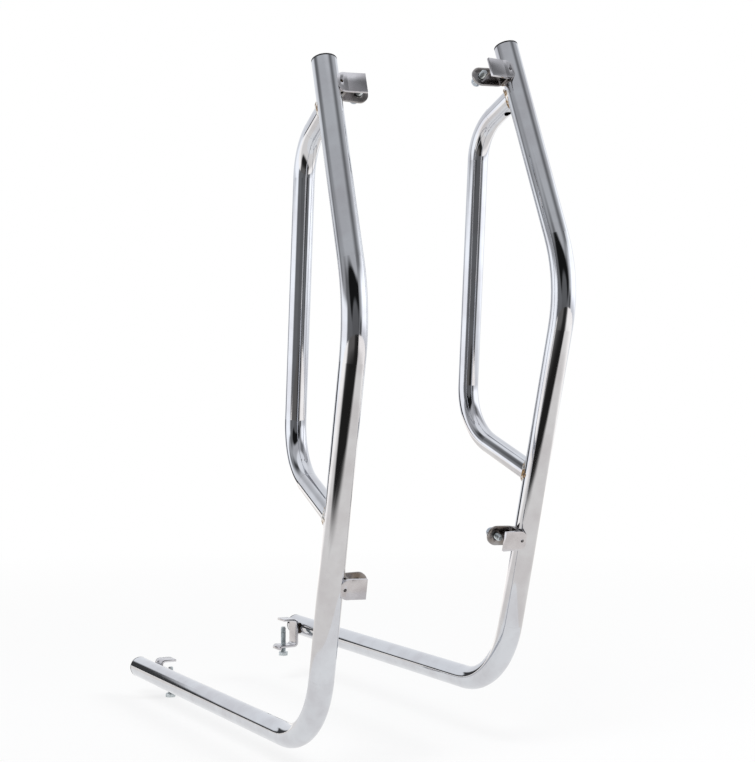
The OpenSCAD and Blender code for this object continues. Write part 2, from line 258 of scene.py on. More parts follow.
@dataclass(frozen=True)
class Moulded(Finish):
    """A moulded polymer, such as nylon or rubber: no metal, with the mould's fine texture.

    The eye sees one even colour under a soft sheen.
    """

    name: str = "light_grey_nylon_plug"
    tints: tuple[tuple[float, str], ...] = ((0.35, "#979e9b"), (0.6, "#a3aaa8"))
    rough: Pair = (0.45, 0.32)
    cloud: Grain = Grain(6.0, 3.0)
    reliefs: tuple[Grain, ...] = (Grain(0.35, depth_mm=0.012),)
    metallic: float = 0.0


STRIP_RELIEF = (Grain(9.0, 2.0, 0.4, 0.004), Grain(1.5, 3.0, 0.6, 0.0002))
TUBE_CHROME = ChromePlate()
# The strips show blurred fields and no sharp image, as metal does that is little polished.
STRIP_CHROME = ChromePlate("chrome_plate_on_bent_strip", ((0.35, "#b4b1b4"), (0.6, "#cfced1")), (0.2, 0.13),
                           reliefs=STRIP_RELIEF)
# The jaws are coloured darker and browner than the strips: painted shade of the clamp's throat.
JAW_CHROME_PAINTED_SHADE = ChromePlate("thin_straw_chrome_on_jaw", ((0.35, "#70675f"), (0.6, "#9c9a9a")), (0.2, 0.12),
                         reliefs=STRIP_RELIEF)
NUT_CHROME = ChromePlate("chrome_plate_on_dome_nut", ((0.35, "#9aa2ab"), (0.6, "#b2bac2")),
                         reliefs=(Grain(4.0, 2.0, 0.4, 0.002), Grain(2.5, 3.0, 0.6, 0.00015)))
WELD = PlatedWeld()
DARK_WELD = PlatedWeld("thinly_plated_weld_block", ((0.34, "#26221f"), (0.44, "#4a4038"), (0.54, "#6d6a68")))
ZINC = ZincPlate()
PLUG = Moulded()
# The rings are darker and less glossy than the plugs.
RUBBER = Moulded("black_rubber_ring", ((0.35, "#121213"), (0.6, "#1b1b1c")), (0.7, 0.55))

FINISH_OF: dict[str, Finish] = {
    "main_tube": TUBE_CHROME,
    "hoop_tube": TUBE_CHROME,
    "hoop_welds": WELD,
    "clamp_welds": WELD,
    "top_seal_ring": RUBBER,
    "run_seal_ring": RUBBER,
    "top_end_plug": PLUG,
    "run_end_plug": PLUG,
    "top_clamp_plate": STRIP_CHROME,
    "mid_clamp_plate": STRIP_CHROME,
    "floor_clamp": STRIP_CHROME,
    "top_clamp_jaw": JAW_CHROME_PAINTED_SHADE,
    "mid_clamp_jaw": JAW_CHROME_PAINTED_SHADE,
    "top_clamp_screw": ZINC,
    "mid_clamp_screw": ZINC,
    "floor_clamp_screw": ZINC,
    "top_clamp_dome_nut": NUT_CHROME,
    "mid_clamp_dome_nut": NUT_CHROME,
    "floor_clamp_spacer": DARK_WELD,
}


class Slot(Enum):
    """The record's material slots, named for the finishes of added pieces."""

    STRIP = "chromed_strip"
    WELD = "chromed_weld"
    NUT = "chromed_nut"
    ZINC = "zinc_fastener"


def add_piece(name: str, mesh: bpy.types.Mesh, slot: Slot, finish: Finish, *stands_for: str) -> None:
    """Put a mesh into the scene as a piece of the object.

    Args:
        name: The piece's name.
        mesh: Its mesh, already in place.
        slot: The record's slot for its finish. Not used.
        finish: Its finish.
        stands_for: CAD nodes that it is shown instead of.
    """
    mesh.name = name
    mesh.materials.clear()
    mesh.materials.append(finish.material())
    obj = bpy.data.objects.new(name, mesh)
    bpy.context.collection.objects.link(obj)
    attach(obj, BODY)
    if stands_for:
        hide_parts(*stands_for)
    LOG.info("%s: %d faces in %s", name, len(mesh.polygons), finish.name)


def baked(mesh: bpy.types.Mesh, kind: str, **settings: Any) -> bpy.types.Mesh:
    """Run one modifier over a mesh and keep the result.

    Args:
        mesh: What to run it on. It is used up.
        kind: The modifier's type.
        settings: Its properties, or for Geometry Nodes its group under "node_group" and the
            values of the group's inputs by their names, with underscores for spaces.

    Returns:
        A plain mesh.
    """
    obj = bpy.data.objects.new("scratch", mesh)
    bpy.context.collection.objects.link(obj)
    mod = obj.modifiers.new("step", kind)
    if kind == "NODES":
        group = settings.pop("node_group")
        mod.node_group = group
        for item in group.interface.items_tree:
            key = item.name.replace(" ", "_")
            if item.in_out == "INPUT" and key in settings:
                mod[item.identifier] = settings[key]
    else:
        for key, value in settings.items():
            setattr(mod, key, value)
    graph = bpy.context.evaluated_depsgraph_get()
    result = bpy.data.meshes.new_from_object(obj.evaluated_get(graph), depsgraph=graph)
    obj.modifiers.clear()
    bpy.data.objects.remove(obj)
    return result


def tidied(mesh: bpy.types.Mesh, smooth_below: float = SMOOTH_BELOW) -> bpy.types.Mesh:
    """Turn all faces outwards and shade smooth between the sharp edges.

    Args:
        mesh: The mesh, which is changed.
        smooth_below: Degrees between two faces up to which they are shaded as one.

    Returns:
        The same mesh.
    """
    work = bmesh.new()
    work.from_mesh(mesh)
    bmesh.ops.recalc_face_normals(work, faces=work.faces)
    work.to_mesh(mesh)
    work.free()
    mesh.shade_smooth()
    mesh.set_sharp_from_angle(angle=math.radians(smooth_below))
    return mesh


def eased(node: str, radius_mm: float) -> bpy.types.Mesh:
    """Copy a CAD node's mesh and ease its sharp edges, as tumbling and plating do.

    Args:
        node: The CAD node.
        radius_mm: Radius of the eased edge.

    Returns:
        The new mesh. The node's own mesh is left alone.
    """
    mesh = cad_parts[node].data.copy()
    work = bmesh.new()
    work.from_mesh(mesh)
    bmesh.ops.remove_doubles(work, verts=work.verts, dist=SAME_CORNER)
    bmesh.ops.dissolve_limit(work, angle_limit=math.radians(FLAT_WITHIN), verts=work.verts, edges=work.edges)
    work.to_mesh(mesh)
    work.free()
    return tidied(baked(mesh, "BEVEL", width=radius_mm * MM, segments=EASE_STEPS, limit_method="ANGLE",
                        angle_limit=math.radians(EASE_ABOVE), miter_outer="MITER_ARC"))


class Tree:
    """A Geometry Nodes tree in the making, with named inputs and a material at its end."""

    def __init__(self, name: str, takes_mesh: bool, **sizes: float) -> None:
        """Start the tree.

        Args:
            name: The tree's name.
            takes_mesh: Whether it works on the object's own mesh.
            sizes: Its inputs with their usual values, with underscores for spaces.
        """
        self.group = bpy.data.node_groups.new(name, "GeometryNodeTree")
        face = self.group.interface
        face.new_socket("Geometry", in_out="OUTPUT", socket_type="NodeSocketGeometry")
        if takes_mesh:
            face.new_socket("Geometry", in_out="INPUT", socket_type="NodeSocketGeometry")
        for key, value in sizes.items():
            kind = "NodeSocketInt" if isinstance(value, int) else "NodeSocketFloat"
            socket = face.new_socket(key.replace("_", " "), in_out="INPUT", socket_type=kind)
            socket.default_value = value
        face.new_socket("Finish", in_out="INPUT", socket_type="NodeSocketMaterial")
        self.inputs = self.group.nodes.new("NodeGroupInput").outputs

    def add(self, kind: str, settings: Optional[dict[str, Any]] = None, **inputs: Any) -> bpy.types.Node:
        """Add a node, as add_node does."""
        return add_node(self.group, kind, settings, **inputs)

    def finish(self, *parts: bpy.types.Node) -> bpy.types.NodeTree:
        """Join the parts, realize them, set their material and end the tree.

        Args:
            parts: Nodes whose first output is a geometry to join.

        Returns:
            The finished tree.
        """
        join = self.add("GeometryNodeJoinGeometry")
        for part in parts:
            self.group.links.new(part.outputs[0], join.inputs[0])
        real = self.add("GeometryNodeRealizeInstances", Geometry=join)
        done = self.add("GeometryNodeSetMaterial", Geometry=real, Material=self.inputs["Finish"])
        self.add("NodeGroupOutput", Geometry=done)
        return self.group


def thread_tree() -> bpy.types.NodeTree:
    """Build the tree of a threaded rod along Z: a core, a chamfered tip and one helical ridge.

    Returns:
        The tree.
    """
    sides = 32
    turn_points = 24
    ridge_sides = 4
    depth_of_pitch = 0.56
    tree = Tree("rolled_thread", False, Length=0.017, Radius=0.003, Pitch=0.001, Chamfer=0.0008)
    length, radius, pitch, chamfer = (tree.inputs[k] for k in ("Length", "Radius", "Pitch", "Chamfer"))
    half = tree.add("ShaderNodeMath", TIMES, n0=pitch, n1=0.5)
    depth = tree.add("ShaderNodeMath", TIMES, n0=pitch, n1=depth_of_pitch)
    core_r = tree.add("ShaderNodeMath", MINUS, n0=radius, n1=depth)
    tip_r = tree.add("ShaderNodeMath", MINUS, n0=core_r, n1=half)
    ridge_r = tree.add("ShaderNodeMath", MINUS, n0=radius, n1=half)
    straight = tree.add("ShaderNodeMath", MINUS, n0=length, n1=chamfer)
    middle = tree.add("ShaderNodeMath", TIMES, n0=straight, n1=0.5)
    climb = tree.add("ShaderNodeMath", MINUS, n0=straight, n1=pitch)
    turns = tree.add("ShaderNodeMath", {"operation": "DIVIDE"}, n0=climb, n1=pitch)
    half_up = tree.add("ShaderNodeCombineXYZ", Z=half)
    middle_up = tree.add("ShaderNodeCombineXYZ", Z=middle)
    straight_up = tree.add("ShaderNodeCombineXYZ", Z=straight)
    spiral = tree.add("GeometryNodeCurveSpiral", Resolution=turn_points, Rotations=turns,
                      Start_Radius=ridge_r, End_Radius=ridge_r, Height=climb)
    upright = tree.add("GeometryNodeSetCurveNormal", {"mode": "Z_UP"}, Curve=spiral)
    raised = tree.add("GeometryNodeTransform", Geometry=upright, Translation=half_up)
    diamond = tree.add("GeometryNodeCurvePrimitiveCircle", {"mode": "RADIUS"}, Resolution=ridge_sides,
                       Radius=half)
    ridge = tree.add("GeometryNodeCurveToMesh", Curve=raised, Profile_Curve=diamond, Fill_Caps=True)
    core = tree.add("GeometryNodeMeshCylinder", Vertices=sides, Radius=core_r, Depth=straight)
    rod = tree.add("GeometryNodeTransform", Geometry=core, Translation=middle_up)
    tip = tree.add("GeometryNodeMeshCone", Vertices=sides, Radius_Top=tip_r, Radius_Bottom=core_r,
                   Depth=chamfer)
    top = tree.add("GeometryNodeTransform", Geometry=tip, Translation=straight_up)
    return tree.finish(rod, top, ridge)


def ripple_tree() -> bpy.types.NodeTree:
    """Build the tree of a weld's ripples: flattened lumps laid one over the next along a line.

    Returns:
        The tree.
    """
    around = 8
    rings = 6
    flatness = 0.7
    tree = Tree("weld_ripples", True, Step=0.0011, Width=0.0013, Unevenness=0.12, Seed=7)
    uneven = tree.inputs["Unevenness"]
    line = tree.add("GeometryNodeMeshToCurve", Mesh=tree.inputs["Geometry"])
    spaced = tree.add("GeometryNodeResampleCurve", {"mode": "LENGTH"}, Curve=line,
                      Length=tree.inputs["Step"])
    tangent = tree.add("GeometryNodeInputTangent")
    turn = tree.add("FunctionNodeAlignRotationToVector", {"axis": "Z"}, Vector=tangent)
    low = tree.add("ShaderNodeMath", MINUS, n0=1.0, n1=uneven)
    high = tree.add("ShaderNodeMath", {"operation": "ADD"}, n0=1.0, n1=uneven)
    size = tree.add("FunctionNodeRandomValue", {"data_type": "FLOAT"}, n2=low, n3=high,
                    Seed=tree.inputs["Seed"])
    lump = tree.add("GeometryNodeMeshUVSphere", Segments=around, Rings=rings, Radius=tree.inputs["Width"])
    flat = tree.add("GeometryNodeTransform", Geometry=lump, Scale=(1.0, 1.0, flatness))
    laid = tree.add("GeometryNodeInstanceOnPoints", Points=spaced, Instance=flat, Rotation=turn,
                    Scale=size.outputs[1])
    return tree.finish(laid)


@dataclass(frozen=True)
class Bar:
    """One bar's centreline and frames, in the CAD's millimetres, and the way into the scene."""

    side: Side
    half_gap: float = 100.5
    leg_rise: float = 372.0
    leg_lean: float = 15.0
    leg_splay: float = 1.4
    top_rise: float = 219.0
    top_lean: float = 21.4
    top_tuck: float = 2.8
    run_length: float = 457.0
    tube_r: float = 11.0
    bend_swell: float = 0.05

    @property
    def corner(self) -> Vector:
        """The vertex where the leg meets the run."""
        return Vector((self.half_gap, 0, 0))

    @property
    def elbow(self) -> Vector:
        """The vertex between the leg and the upper section."""
        splay, lean = (math.tan(math.radians(a)) for a in (self.leg_splay, self.leg_lean))
        return self.corner + self.leg_rise * Vector((splay, -lean, 1))

    @property
    def top_end(self) -> Vector:
        """The upper end before the left bar is cut shorter."""
        tuck, lean = (math.tan(math.radians(a)) for a in (self.top_tuck, self.top_lean))
        return self.elbow + self.top_rise * Vector((-tuck, lean, 1))

    @property
    def run_end(self) -> Vector:
        """The rear end of the run."""
        return self.corner + Vector((0, self.run_length, 0))

    @staticmethod
    def along(start: Vector, goal: Vector, distance: float) -> Vector:
        """The point at a distance from start towards goal."""
        return start + (goal - start).normalized() * distance

    @staticmethod
    def on_tube(start: Vector, goal: Vector) -> Matrix:
        """Make a frame on a tube's axis, with X inward, Y to the rear and Z along the tube.

        Args:
            start: Where the frame sits.
            goal: The point that Z looks to.

        Returns:
            The frame, in the bar's millimetres.
        """
        z = (goal - start).normalized()
        y = z.cross(Vector((1, 0, 0))).normalized()
        x = -y.cross(z)
        return Matrix.Translation(start) @ Matrix((x, y, z)).transposed().to_4x4()

    def on_run(self, ahead: float) -> Matrix:
        """A frame on the run with X inward, Y to the front and Z up."""
        turn = Matrix(((-1, 0, 0), (0, -1, 0), (0, 0, 1))).to_4x4()
        return Matrix.Translation(self.run_end - Vector((0, ahead, 0))) @ turn

    def into_scene(self) -> Matrix:
        """Find the way from the bar's own millimetres to the scene, off the main tube's box.

        Returns:
            The matrix that takes a point there.
        """
        low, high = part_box(f"{self.side.value}_main_tube")
        shift = Vector((0, high[1] / MM - self.run_length, low[2] / MM + self.tube_r + self.bend_swell))
        flip = Matrix.Diagonal((self.side.mirror, 1, 1, 1))
        return Matrix.Scale(MM, 4) @ Matrix.Translation(shift) @ flip

    def named(self, piece: str) -> str:
        """A piece's name with the bar's side before it."""
        return f"{self.side.value}_{piece}"


@dataclass(frozen=True)
class Screw:
    """A rolled M6 thread with a chamfered tip, and a hexagonal head where it has one."""

    length: float
    head_h: float = 0.0
    radius: float = 3.0
    pitch: float = 1.0
    chamfer: float = 0.8
    hex_af: float = 10.0
    head_edge: float = 0.25

    def rod(self) -> bpy.types.Mesh:
        """Run the thread's tree with this screw's sizes.

        Returns:
            The threaded rod along Z with its tip up, in metres.
        """
        tree = bpy.data.node_groups.get("rolled_thread") or thread_tree()
        return baked(bpy.data.meshes.new("rod"), "NODES", node_group=tree, Length=self.length * MM,
                     Radius=self.radius * MM, Pitch=self.pitch * MM, Chamfer=self.chamfer * MM,
                     Finish=ZINC.material())

    def add_head(self, mesh: bpy.types.Mesh) -> None:
        """Put the hexagonal head below the rod's foot and ease its edges.

        Args:
            mesh: The rod, which is changed.
        """
        corner_r = self.hex_af / math.sqrt(3) * MM
        seat = Matrix.Translation((0, 0, -self.head_h / 2 * MM)) @ Matrix.Rotation(math.pi / 6, 4, "Z")
        work = bmesh.new()
        work.from_mesh(mesh)
        head = bmesh.ops.create_cone(work, cap_ends=True, segments=6, radius1=corner_r, radius2=corner_r,
                                     depth=self.head_h * MM, matrix=seat)
        edges = {edge for vert in head["verts"] for edge in vert.link_edges}
        bmesh.ops.bevel(work, geom=list(edges), offset=self.head_edge * MM, segments=EASE_STEPS,
                        affect="EDGES", profile=0.5)
        work.to_mesh(mesh)
        work.free()

    def build(self, node: str, place: Matrix) -> None:
        """Show the threaded screw instead of a CAD node.

        Args:
            node: The CAD node.
            place: From the screw's own millimetres to the scene.
        """
        mesh = self.rod()
        if self.head_h:
            self.add_head(mesh)
        mesh.transform(place @ Matrix.Scale(1 / MM, 4))
        add_piece(f"{node}_threaded", tidied(mesh), Slot.ZINC, ZINC, node)


def rippled(lines: Sequence[Sequence[Vector]], closed: bool, radius_mm: float) -> bpy.types.Mesh:
    """Lay weld ripples along some lines.

    Args:
        lines: Points of each line, in metres.
        closed: Whether each line runs back to its start.
        radius_mm: Radius of a ripple.

    Returns:
        One mesh with all ripples.
    """
    points: list[Point] = []
    edges: list[tuple[int, int]] = []
    for line in lines:
        first = len(points)
        points += [tuple(point) for point in line]
        edges += [(k, k + 1) for k in range(first, len(points) - 1)]
        if closed:
            edges.append((len(points) - 1, first))
    guide = bpy.data.meshes.new("guide")
    guide.from_pydata(points, edges, [])
    tree = bpy.data.node_groups.get("weld_ripples") or ripple_tree()
    laid = baked(guide, "NODES", node_group=tree, Width=radius_mm * MM, Finish=WELD.material())
    return tidied(laid, ALL_SMOOTH)


@dataclass(frozen=True)
class HoopWelds:
    """The ripples of the two beads that join a hoop to its main tube."""

    bar: Bar
    hoop_r: float = 9.5
    hoop_joint_down: float = 47.0
    hoop_foot_down: float = 179.0
    hoop_corner_up: float = 147.5
    hoop_corner_down: float = 131.0
    hoop_reach_top: float = 129.5
    hoop_reach_low: float = 153.0
    hoop_inset: float = 4.5
    lift: float = 0.7
    ripple_r: float = 1.25
    around: int = 72

    def saddle(self, joint: Vector, goal: Vector, far: Vector) -> list[Vector]:
        """The line where a hoop's end meets the main tube, lifted to the bead's middle.

        Args:
            joint: Where the two axes meet.
            goal: A point along the hoop.
            far: A point along the main tube.

        Returns:
            Points round the joint, in the bar's millimetres.
        """
        hoop = (goal - joint).normalized()
        main = (far - joint).normalized()
        u = hoop.cross(main).normalized()
        v = hoop.cross(u)
        points = []
        for k in range(self.around):
            turn = 2 * math.pi * k / self.around
            start = (self.hoop_r + self.lift) * (math.cos(turn) * u + math.sin(turn) * v)
            flat, way = (w - main * w.dot(main) for w in (start, hoop))
            # The line from start along the hoop leaves the main tube's lifted round where this is 0.
            a, b, c = way.dot(way), 2 * flat.dot(way), flat.dot(flat) - (self.bar.tube_r + self.lift) ** 2
            points.append(joint + start + hoop * ((-b + math.sqrt(max(0.0, b * b - 4 * a * c))) / (2 * a)))
        return points

    def build(self) -> None:
        """Lay the ripples over both joints."""
        bar = self.bar
        inset = bar.half_gap - self.hoop_inset
        corner_top = Vector((inset, bar.elbow.y + self.hoop_reach_top, bar.elbow.z + self.hoop_corner_up))
        corner_low = Vector((inset, bar.elbow.y + self.hoop_reach_low, bar.elbow.z - self.hoop_corner_down))
        joint = bar.along(bar.top_end, bar.elbow, self.hoop_joint_down)
        foot = bar.along(bar.elbow, bar.corner, self.hoop_foot_down)
        place = bar.into_scene()
        rings = [self.saddle(joint, corner_top, bar.top_end), self.saddle(foot, corner_low, bar.corner)]
        mesh = rippled([[place @ point for point in ring] for ring in rings], True, self.ripple_r)
        add_piece(bar.named("hoop_weld_ripples"), mesh, Slot.WELD, WELD)


@dataclass(frozen=True)
class PanelClamp:
    """A strip clamp that grips the shield's edge: plate, jaw, screw, dome nut and its beads."""

    bar: Bar
    name: str
    screw_at: float
    down_from_top: float = 0.0
    up_from_corner: float = 0.0
    clamp_w: float = 18.0
    clamp_t: float = 2.5
    plate_back: float = -7.3
    mouth_gap: float = 12.0
    screw_proud: float = 7.0
    screw_tail: float = 7.5
    strip_edge: float = 0.35
    nut_edge: float = 0.2
    plate_bead: Pair = (9.6, -6.4)
    jaw_bead: Pair = (11.4, 4.7)
    bead_inset: float = 1.8
    ripple_r: float = 1.15

    def frame(self) -> Matrix:
        """Find the clamp's frame on the tube.

        Returns:
            From the clamp's own millimetres to the scene.
        """
        bar = self.bar
        if self.down_from_top:
            own = bar.on_tube(bar.along(bar.top_end, bar.elbow, self.down_from_top), bar.top_end)
        else:
            own = bar.on_tube(bar.along(bar.corner, bar.elbow, self.up_from_corner), bar.elbow)
        return bar.into_scene() @ own

    def build(self) -> None:
        """Ease the strips and the nut, cut the screw's thread and lay the beads' ripples."""
        own_name = self.bar.named(f"{self.name}_clamp")
        for part, slot, finish, edge in (("plate", Slot.STRIP, STRIP_CHROME, self.strip_edge),
                                         ("jaw", Slot.STRIP, JAW_CHROME_PAINTED_SHADE, self.strip_edge),
                                         ("dome_nut", Slot.NUT, NUT_CHROME, self.nut_edge)):
            node = f"{own_name}_{part}"
            add_piece(f"{node}_eased", eased(node, edge), slot, finish, node)
        place = self.frame()
        jaw_back = self.plate_back + self.mouth_gap + self.clamp_t
        tip = Matrix.Translation((self.screw_at, jaw_back + self.screw_tail, 0))
        screw = Screw(self.screw_proud + self.clamp_t + self.screw_tail)
        screw.build(f"{own_name}_screw", place @ (tip @ Matrix.Rotation(math.pi / 2, 4, "X")))
        reach = self.clamp_w / 2 - self.bead_inset
        lines = [[place @ Vector((*bead, z)) for z in (-reach, reach)]
                 for bead in (self.plate_bead, self.jaw_bead)]
        add_piece(f"{own_name}_weld_ripples", rippled(lines, False, self.ripple_r), Slot.WELD, WELD)


@dataclass(frozen=True)
class FloorClamp:
    """The strip clamp at the run's end with its hexagon screw."""

    bar: Bar
    floor_at: float = 23.5
    screw_at: float = 27.0
    head_top: float = -27.5
    screw_length: float = 29.0
    head_h: float = 4.0
    strip_edge: float = 0.35

    def build(self) -> None:
        """Ease the strip and cut the screw's thread."""
        bar = self.bar
        node = bar.named("floor_clamp")
        add_piece(f"{node}_eased", eased(node, self.strip_edge), Slot.STRIP, STRIP_CHROME, node)
        seat = Matrix.Translation((self.screw_at, 0, self.head_top))
        place = bar.into_scene() @ bar.on_run(self.floor_at) @ seat
        Screw(self.screw_length, self.head_h).build(f"{node}_screw", place)


def soft_step(value: float, start: float, end: float) -> float:
    """Rise smoothly from 0 at start to 1 at end."""
    t = min(1.0, max(0.0, (value - start) / (end - start)))
    return t * t * (3 - 2 * t)


def band(value: float, low: float, high: float, soft: float) -> float:
    """Be 1 between low and high and fall to 0 outside, over a soft edge."""
    return soft_step(value, low - soft, low + soft) * (1 - soft_step(value, high - soft, high + soft))


def blend(level: float, other: float, share: float) -> float:
    """Go from level to other by a share between 0 and 1."""
    return level + (other - level) * share


@dataclass(frozen=True)
class Field:
    """A stretch of the room between two azimuths, in degrees, with its own level.

    It may begin over a rise of elevations, and end over a fall of them.
    """

    level: float
    start: float
    end: float
    soft: float
    rise: Optional[Pair] = None
    fall: Optional[Pair] = None

    def over(self, level: float, azimuth: float, elevation: float = 0.0) -> float:
        """Lay the field over what is there.

        Args:
            level: The level without it.
            azimuth: Degrees from the camera's side.
            elevation: Degrees above the horizon.

        Returns:
            The level with it.
        """
        share = band(azimuth, self.start, self.end, self.soft)
        if self.rise:
            share *= soft_step(elevation, *self.rise)
        if self.fall:
            share *= 1 - soft_step(elevation, *self.fall)
        return blend(level, self.level, share)


@dataclass(frozen=True)
class Oval:
    """An oval of the room with its own level, which may lean. Its edge is in its own radii."""

    level: float
    azimuth: float
    elevation: float
    half_wide: float
    half_high: float
    edge: Pair
    lean: float = 0.0

    def over(self, level: float, azimuth: float, elevation: float) -> float:
        """Lay the oval over what is there.

        Args:
            level: The level without it.
            azimuth: Degrees from the camera's side.
            elevation: Degrees above the horizon.

        Returns:
            The level with it.
        """
        up = elevation - self.elevation
        away = math.hypot((azimuth - self.azimuth + self.lean * up) / self.half_wide, up / self.half_high)
        return blend(level, self.level, 1 - soft_step(away, *self.edge))


@dataclass(frozen=True)
class Skirting:
    """A dark strip along the horizon at the rear left, whose top climbs towards the rear."""

    level: float = 0.06
    start: float = -140.0
    end: float = -114.0
    soft: float = 3.0
    foot: float = -9.0
    top: float = 0.5
    climb: float = 12.0
    climb_over: Pair = (126.0, 132.0)
    lean: float = 0.47
    soft_top: float = 2.0

    def over(self, level: float, azimuth: float, elevation: float) -> float:
        """Lay the strip over what is there.

        Args:
            level: The level without it.
            azimuth: Degrees from the camera's side.
            elevation: Degrees above the horizon.

        Returns:
            The level with it.
        """
        top = self.top + self.climb * soft_step(-azimuth - self.lean * elevation, *self.climb_over)
        share = band(azimuth, self.start, self.end, self.soft)
        share *= band(elevation, self.foot, top, self.soft_top)
        return blend(level, self.level, share)


@dataclass(frozen=True)
class MirrorRoom:
    """The studio as the chrome sees it: dark room low in front, grey wall above, white behind.

    Azimuth 0 is the camera's side and 90 its right, in degrees. A level of 1 is white paper.
    The levels and edges were set by comparing the brightness across the tubes with that in the
    photograph, so they hold for the camera's side and are a guess elsewhere. Only mirror rays
    see the room, so it blocks no view and lights nothing.
    """

    yaw: float
    distance: float = 3.0
    height: float = 5.2
    eye_height: float = 0.3
    cool: str = "#f8fafe"
    warm: str = "#fffbf7"
    wall_steps: int = 288
    rise_steps: int = 90

    # Low on the wall: white, then a dark front with a grey window, a gap, and two bright sides.
    white: float = 1.0
    low_fields: tuple[Field, ...] = (
        Field(0.2, -106, 54, 12),
        Field(0.5, -92, -64, 9),
        Field(0.02, 50, 60, 5, fall=(0, 8)),
        Field(1.7, 66, 136, 7, rise=(-4, 4)),
        Field(1.45, -116, -56, 8, fall=(7, 13)),
    )
    skirting: Skirting = Skirting()
    # High on the wall: grey in front and paler behind, with two dark uprights.
    wall_front: float = 0.62
    wall_back: float = 0.98
    wall_turns: Pair = (112, 150)
    high_fields: tuple[Field, ...] = (Field(0.07, -106, -76, 15), Field(0.22, 48, 84, 18))
    high_from: Pair = (20, 36)
    # A nearly black oval in front, with a grey one in it.
    ovals: tuple[Oval, ...] = (
        Oval(0.012, 4, 17, 43, 22, (0.76, 1.06), lean=0.7),
        Oval(0.16, 8, 2, 24, 15, (0.7, 1.1)),
    )
    ceiling_level: float = 1.1
    ceiling_from: Pair = (50, 62)
    ceiling_hub: float = 0.01

    # A white table with a dark gap past its edge in front, and the floor beyond it.
    table_level: float = 0.95
    table_gap: Field = Field(0.02, -48, 44, 9)
    table_edge_azimuth: float = -12.0
    table_edge: Pair = (0.6, 0.74)
    far_level: float = 1.4
    far_fields: tuple[Field, ...] = (Field(0.16, -42, 42, 9), Field(0.03, 8, 34, 8))
    far_from: Pair = (1.0, 1.7)
    floor_from: float = 0.42
    floor_step: float = 0.06
    floor_steps: int = 27
    floor_far: Pair = (2.2, 2.6)
    floor_lift: float = 0.001

    def wall_level(self, azimuth: float, elevation: float) -> float:
        """How bright the room looks in one direction above the floor.

        Args:
            azimuth: Degrees from the camera's side.
            elevation: Degrees above the horizon.

        Returns:
            The level.
        """
        low = self.white
        for field in self.low_fields:
            low = field.over(low, azimuth, elevation)
        low = self.skirting.over(low, azimuth, elevation)
        high = blend(self.wall_front, self.wall_back, soft_step(abs(azimuth), *self.wall_turns))
        for field in self.high_fields:
            high = field.over(high, azimuth)
        level = blend(low, high, soft_step(elevation, *self.high_from))
        for oval in self.ovals:
            level = oval.over(level, azimuth, elevation)
        return blend(level, self.ceiling_level, soft_step(elevation, *self.ceiling_from))

    def floor_level(self, azimuth: float, reach: float) -> float:
        """How bright the floor looks at one place: a white table that ends before the camera.

        Args:
            azimuth: Degrees from the camera's side.
            reach: Metres from the origin.

        Returns:
            The level.
        """
        past = reach * math.cos(math.radians(azimuth - self.table_edge_azimuth))
        gap = self.table_gap.over(self.table_level, azimuth)
        near = blend(self.table_level, gap, soft_step(past, *self.table_edge))
        far = self.far_level
        for field in self.far_fields:
            far = field.over(far, azimuth)
        return blend(near, far, soft_step(reach, *self.far_from))

    def point(self, azimuth: float, reach: float, z: float) -> Point:
        """The place at an azimuth, a reach from the origin and a height."""
        turn = math.radians(azimuth + self.yaw)
        return reach * math.sin(turn), -reach * math.cos(turn), z

    def glow(self, name: str, colour: str) -> bpy.types.Material:
        """Make a light whose strength is each point's level.

        Args:
            name: The material's name.
            colour: Its light's colour.

        Returns:
            The material.
        """
        mat = blank_material(name)
        level = add_node(mat.node_tree, "ShaderNodeAttribute", {"attribute_name": "level"})
        light = add_node(mat.node_tree, "ShaderNodeEmission", Color=to_linear(colour),
                         Strength=level.outputs["Fac"])
        add_node(mat.node_tree, "ShaderNodeOutputMaterial", Surface=light)
        return mat

    def grid(self, name: str, colour: str, rows: Sequence[Sequence[tuple[Point, float]]]) -> None:
        """Turn rows of points and levels into a stage mesh that glows for mirrors only.

        Args:
            name: The mesh's name.
            colour: Its light's colour.
            rows: Rows of equal length, each point with its level.
        """
        wide = len(rows[0])
        points = [point for row in rows for point, _ in row]
        starts = [r * wide + c for r in range(len(rows) - 1) for c in range(wide - 1)]
        faces = [(k, k + 1, k + wide + 1, k + wide) for k in starts]
        obj = mesh_object(name, points, faces, self.glow(name, colour))
        shade = obj.data.attributes.new("level", "FLOAT", "POINT")
        shade.data.foreach_set("value", [level for row in rows for _, level in row])
        obj.visible_camera = obj.visible_diffuse = obj.visible_shadow = obj.visible_transmission = False

    def build(self) -> None:
        """Make the wall, the ceiling and the floor ring."""
        turns = [-180 + 360 * k / self.wall_steps for k in range(self.wall_steps + 1)]
        wall = []
        for k in range(self.rise_steps + 1):
            z = self.height * k / self.rise_steps
            up = math.degrees(math.atan2(z - self.eye_height, self.distance))
            wall.append([(self.point(a, self.distance, z), self.wall_level(a, up)) for a in turns])
        ceiling = [[(self.point(a, reach, self.height), self.ceiling_level) for a in turns]
                   for reach in (self.ceiling_hub, self.distance)]
        reaches = [self.floor_from + self.floor_step * k for k in range(self.floor_steps)]
        floor = [[(self.point(a, reach, self.floor_lift), self.floor_level(a, reach)) for a in turns]
                 for reach in (*reaches, *self.floor_far, self.distance)]
        self.grid("mirror_room_wall", self.cool, wall)
        self.grid("mirror_room_ceiling", self.cool, ceiling)
        self.grid("mirror_room_floor", self.warm, floor)


def blank_material(name: str) -> bpy.types.Material:
    """Make a material whose node tree is empty.

    Args:
        name: Its name.

    Returns:
        The material.
    """
    mat = bpy.data.materials.new(name)
    mat.use_nodes = True
    mat.node_tree.nodes.clear()
    return mat


